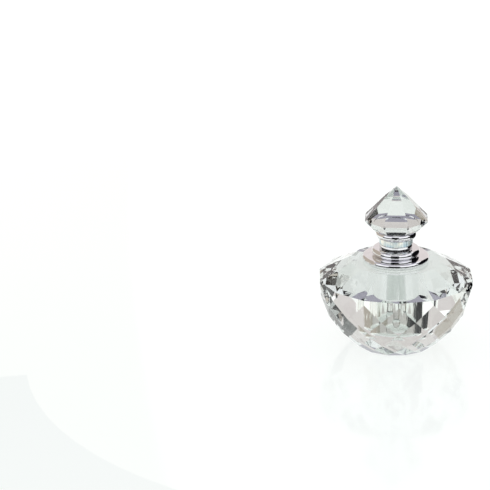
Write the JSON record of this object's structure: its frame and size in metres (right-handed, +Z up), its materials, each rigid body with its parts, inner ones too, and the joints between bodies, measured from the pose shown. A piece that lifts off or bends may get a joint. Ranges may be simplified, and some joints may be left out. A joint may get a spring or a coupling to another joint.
{
  "type": "perfume bottle",
  "caption": "Faceted cut-crystal perfume bottle with a drilled well, chrome collar and a screw stopper carrying a diamond-shaped finial and a glass dauber.",
  "frame": {"origin": "Middle of the crystal's flat base, on the bottle's axis", "axes": "+Z up along the bottle's axis, -Y the front"},
  "size_m": [0.0616, 0.0626, 0.0662],
  "materials": {
    "body_crystal": "polished, clear",
    "finial_crystal": "polished, clear",
    "rod_glass": "fire-polished, clear",
    "clear_adhesive": "cured, clear",
    "collar_chrome": "mirror plated",
    "cap_chrome": "mirror plated",
    "band_chrome": "plated, fluted",
    "neck_metal": "plated, turned",
    "insert_plastic": "moulded, natural white",
    "gasket": "soft foam, white"
  },
  "bodies": {
    "bottle": {"crystal_body": "body_crystal", "collar_bond": "clear_adhesive", "flange_ring": "collar_chrome", "bead_ring": "collar_chrome", "neck_sleeve": "neck_metal"},
    "washer": {"neck_gasket": "gasket"},
    "dauber": {"dauber_holder": "insert_plastic", "dauber_rod": "rod_glass"},
    "stopper": {"thread_liner": "insert_plastic", "cap_shell": "cap_chrome", "grip_band": "band_chrome", "finial_cup": "cap_chrome", "finial_bond": "clear_adhesive", "finial": "finial_crystal"}
  },
  "joints": [
    {"name": "stopper_lift", "type": "slide", "parent": "bottle", "child": "washer", "axis": [0, 0, 1], "range_m": [0, 0.05]},
    {"name": "stopper_rise", "type": "slide", "parent": "washer", "child": "dauber", "axis": [0, 0, 1], "range_m": [0, 0.003]},
    {"name": "stopper_turn", "type": "hinge", "parent": "dauber", "child": "stopper", "pos_m": [0, 0, 0.045], "axis": [0, 0, 1], "range_deg": [0, 720]}
  ],
  "couplings": [
    {"joint": "stopper_rise", "follows": "stopper_turn", "m_per_rad": 0.00023873}
  ]
}
